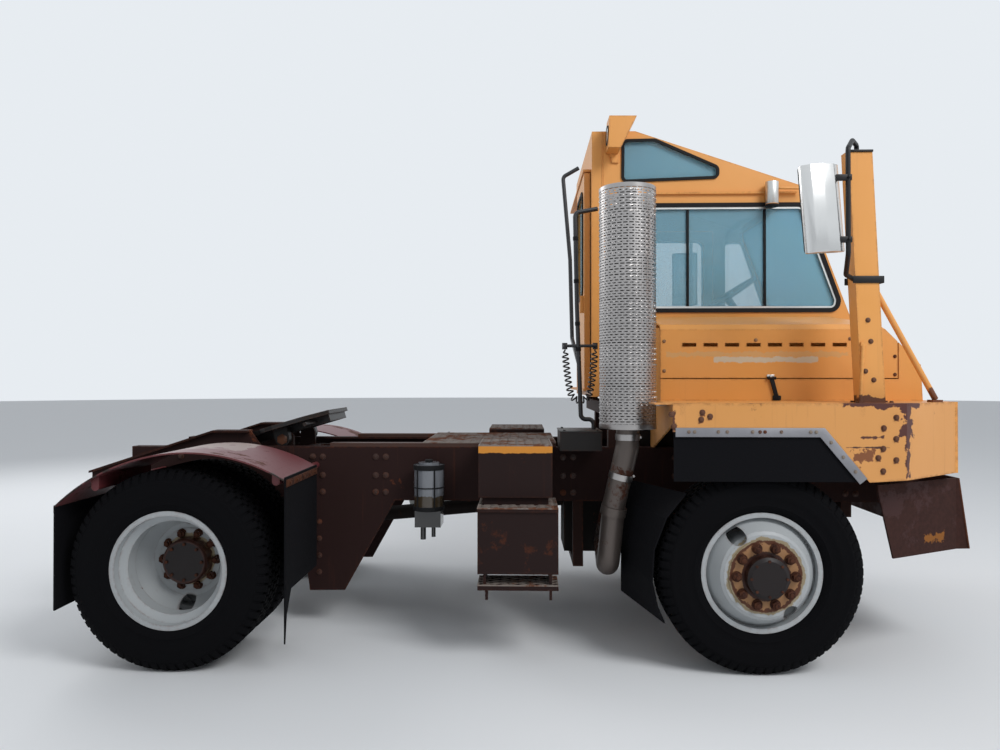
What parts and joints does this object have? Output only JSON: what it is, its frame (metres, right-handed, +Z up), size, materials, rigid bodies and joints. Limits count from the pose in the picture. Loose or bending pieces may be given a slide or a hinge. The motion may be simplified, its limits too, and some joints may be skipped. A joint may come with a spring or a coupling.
{
  "type": "terminal tractor",
  "caption": "Two-axle terminal tractor with an offset tilting cab, side hood, exhaust stack, steering front wheels and a lifting fifth wheel.",
  "frame": {"origin": "on the ground under the middle of the overall length and width", "axes": "+X forward, +Y the vehicle's left, +Z up"},
  "size_m": [5.01, 2.6, 3.076],
  "materials": {
    "cab_paint": "satin",
    "frame_paint": "matte",
    "fender_paint": "satin",
    "black_paint": "satin",
    "wheel_paint": "satin",
    "cast_block": "matte",
    "dark_steel": "matte",
    "stainless": "brushed",
    "grate_metal": "matte",
    "tank_metal": "brushed",
    "chrome_rod": "polished",
    "black_rubber": "matte",
    "black_plastic": "matte",
    "tyre": "matte",
    "window_glass": "clear",
    "lamp_glass": "clear",
    "red_lens": "gloss",
    "seat_fabric": "woven"
  },
  "bodies": {
    "chassis": {"frame_rails": "frame_paint", "frame_crossmembers": "frame_paint", "engine": "cast_block", "driveshaft": "cast_block", "rear_axle": "cast_block", "front_axle": "cast_block", "front_fenders": "cab_paint", "front_apron": "cab_paint", "front_bumper": "frame_paint", "rubber_flaps": "black_rubber", "rear_fenders": "fender_paint", "step_boxes": "frame_paint", "fuel_tank": "tank_metal", "grease_pump": "black_plastic", "deck_plates": "grate_metal", "platform_box": "black_paint", "stack_guard": "stainless", "exhaust_pipe": "dark_steel", "mirror_post": "cab_paint", "mirror_right": "stainless", "hood_base": "cab_paint", "hand_rails": "black_paint", "air_hose": "black_rubber", "head_lamps": "lamp_glass", "tail_lamps": "red_lens"},
    "cab": {"cab_rear_wall": "cab_paint", "cab_floor": "cab_paint", "cab_roof": "cab_paint", "cab_front": "cab_paint", "cab_right_wall": "cab_paint", "cab_left_wall": "cab_paint", "cab_glass": "window_glass", "cab_lamps": "cab_paint", "dashboard": "black_plastic", "seat_base": "black_paint", "seat_cushions": "seat_fabric"},
    "left_door": {"left_door": "cab_paint", "left_door_glass": "window_glass", "mirror_left": "stainless"},
    "rear_door": {"rear_door": "cab_paint", "rear_door_glass": "window_glass"},
    "steering_wheel": {"steering_wheel": "black_plastic"},
    "hood_lid": {"hood_lid": "cab_paint"},
    "knuckle_left": {"knuckle_left": "cast_block"},
    "knuckle_right": {"knuckle_right": "cast_block"},
    "tie_rod": {"tie_rod": "cast_block"},
    "front_wheel_left": {"front_rim_left": "wheel_paint", "front_tyre_left": "tyre"},
    "front_wheel_right": {"front_rim_right": "wheel_paint", "front_tyre_right": "tyre"},
    "rear_wheels_left": {"rear_rims_left": "wheel_paint", "rear_tyres_left": "tyre"},
    "rear_wheels_right": {"rear_rims_right": "wheel_paint", "rear_tyres_right": "tyre"},
    "boom": {"boom": "frame_paint"},
    "fifth_wheel": {"fifth_wheel": "cast_block"},
    "lift_barrels": {"lift_barrels": "black_paint"},
    "lift_rods": {"lift_rods": "chrome_rod"}
  },
  "joints": [
    {"name": "rear_spin_left", "type": "hinge", "parent": "chassis", "child": "rear_wheels_left", "pos_m": [-1.685, 0.908, 0.51], "axis": [0, 1, 0], "continuous": true},
    {"name": "rear_spin_right", "type": "hinge", "parent": "chassis", "child": "rear_wheels_right", "pos_m": [-1.685, -0.908, 0.51], "axis": [0, 1, 0], "continuous": true},
    {"name": "steer_left", "type": "hinge", "parent": "chassis", "child": "knuckle_left", "pos_m": [1.285, 0.89, 0.51], "axis": [0, 0, 1], "range_deg": [-35, 35]},
    {"name": "steer_right", "type": "hinge", "parent": "chassis", "child": "knuckle_right", "pos_m": [1.285, -0.89, 0.51], "axis": [0, 0, 1], "range_deg": [-35, 35]},
    {"name": "front_spin_left", "type": "hinge", "parent": "knuckle_left", "child": "front_wheel_left", "pos_m": [1.285, 1.04, 0.51], "axis": [0, 1, 0], "continuous": true},
    {"name": "front_spin_right", "type": "hinge", "parent": "knuckle_right", "child": "front_wheel_right", "pos_m": [1.285, -1.04, 0.51], "axis": [0, 1, 0], "continuous": true},
    {"name": "tie_rod_pivot", "type": "hinge", "parent": "knuckle_left", "child": "tie_rod", "pos_m": [1.105, 0.89, 0.4], "axis": [0, 0, 1], "range_deg": [-35, 35]},
    {"name": "steering_wheel_turn", "type": "hinge", "parent": "cab", "child": "steering_wheel", "pos_m": [1.545, 0.45, 2.06], "axis": [-0.5592, 0, 0.829], "range_deg": [-525, 525]},
    {"name": "cab_tilt", "type": "hinge", "parent": "chassis", "child": "cab", "pos_m": [2.325, 0, 1.382], "axis": [0, 1, 0], "range_deg": [0, 45]},
    {"name": "left_door_swing", "type": "hinge", "parent": "cab", "child": "left_door", "pos_m": [1.604, 1.112, 2], "axis": [0, 0, -1], "range_deg": [0, 75]},
    {"name": "rear_door_slide", "type": "slide", "parent": "cab", "child": "rear_door", "axis": [0, 1, 0], "range_m": [0, 0.56]},
    {"name": "hood_lid_lift", "type": "hinge", "parent": "chassis", "child": "hood_lid", "pos_m": [1.5, -0.221, 1.852], "axis": [-1, 0, 0], "range_deg": [0, 75]},
    {"name": "boom_lift", "type": "hinge", "parent": "chassis", "child": "boom", "pos_m": [-0.56, 0, 0.9], "axis": [0, 1, 0], "range_deg": [0, 28]},
    {"name": "fifth_wheel_pitch", "type": "hinge", "parent": "boom", "child": "fifth_wheel", "pos_m": [-1.378, 0, 1.105], "axis": [0, 1, 0], "range_deg": [0, 20]},
    {"name": "lift_barrel_swing", "type": "hinge", "parent": "chassis", "child": "lift_barrels", "pos_m": [-0.9, 0, 0.56], "axis": [0, 1, 0], "range_deg": [0, 20.32]},
    {"name": "lift_rod_slide", "type": "slide", "parent": "lift_barrels", "child": "lift_rods", "axis": [-0.5735, 0, 0.8192], "range_m": [0, 0.21899]}
  ],
  "couplings": [
    {"joint": "steer_right", "follows": "steer_left", "ratio": 1},
    {"joint": "tie_rod_pivot", "follows": "steer_left", "ratio": -1},
    {"joint": "steering_wheel_turn", "follows": "steer_left", "ratio": 15},
    {"joint": "lift_barrel_swing", "follows": "boom_lift", "ratio": 0.72527},
    {"joint": "lift_rod_slide", "follows": "boom_lift", "m_per_rad": 0.4479}
  ]
}
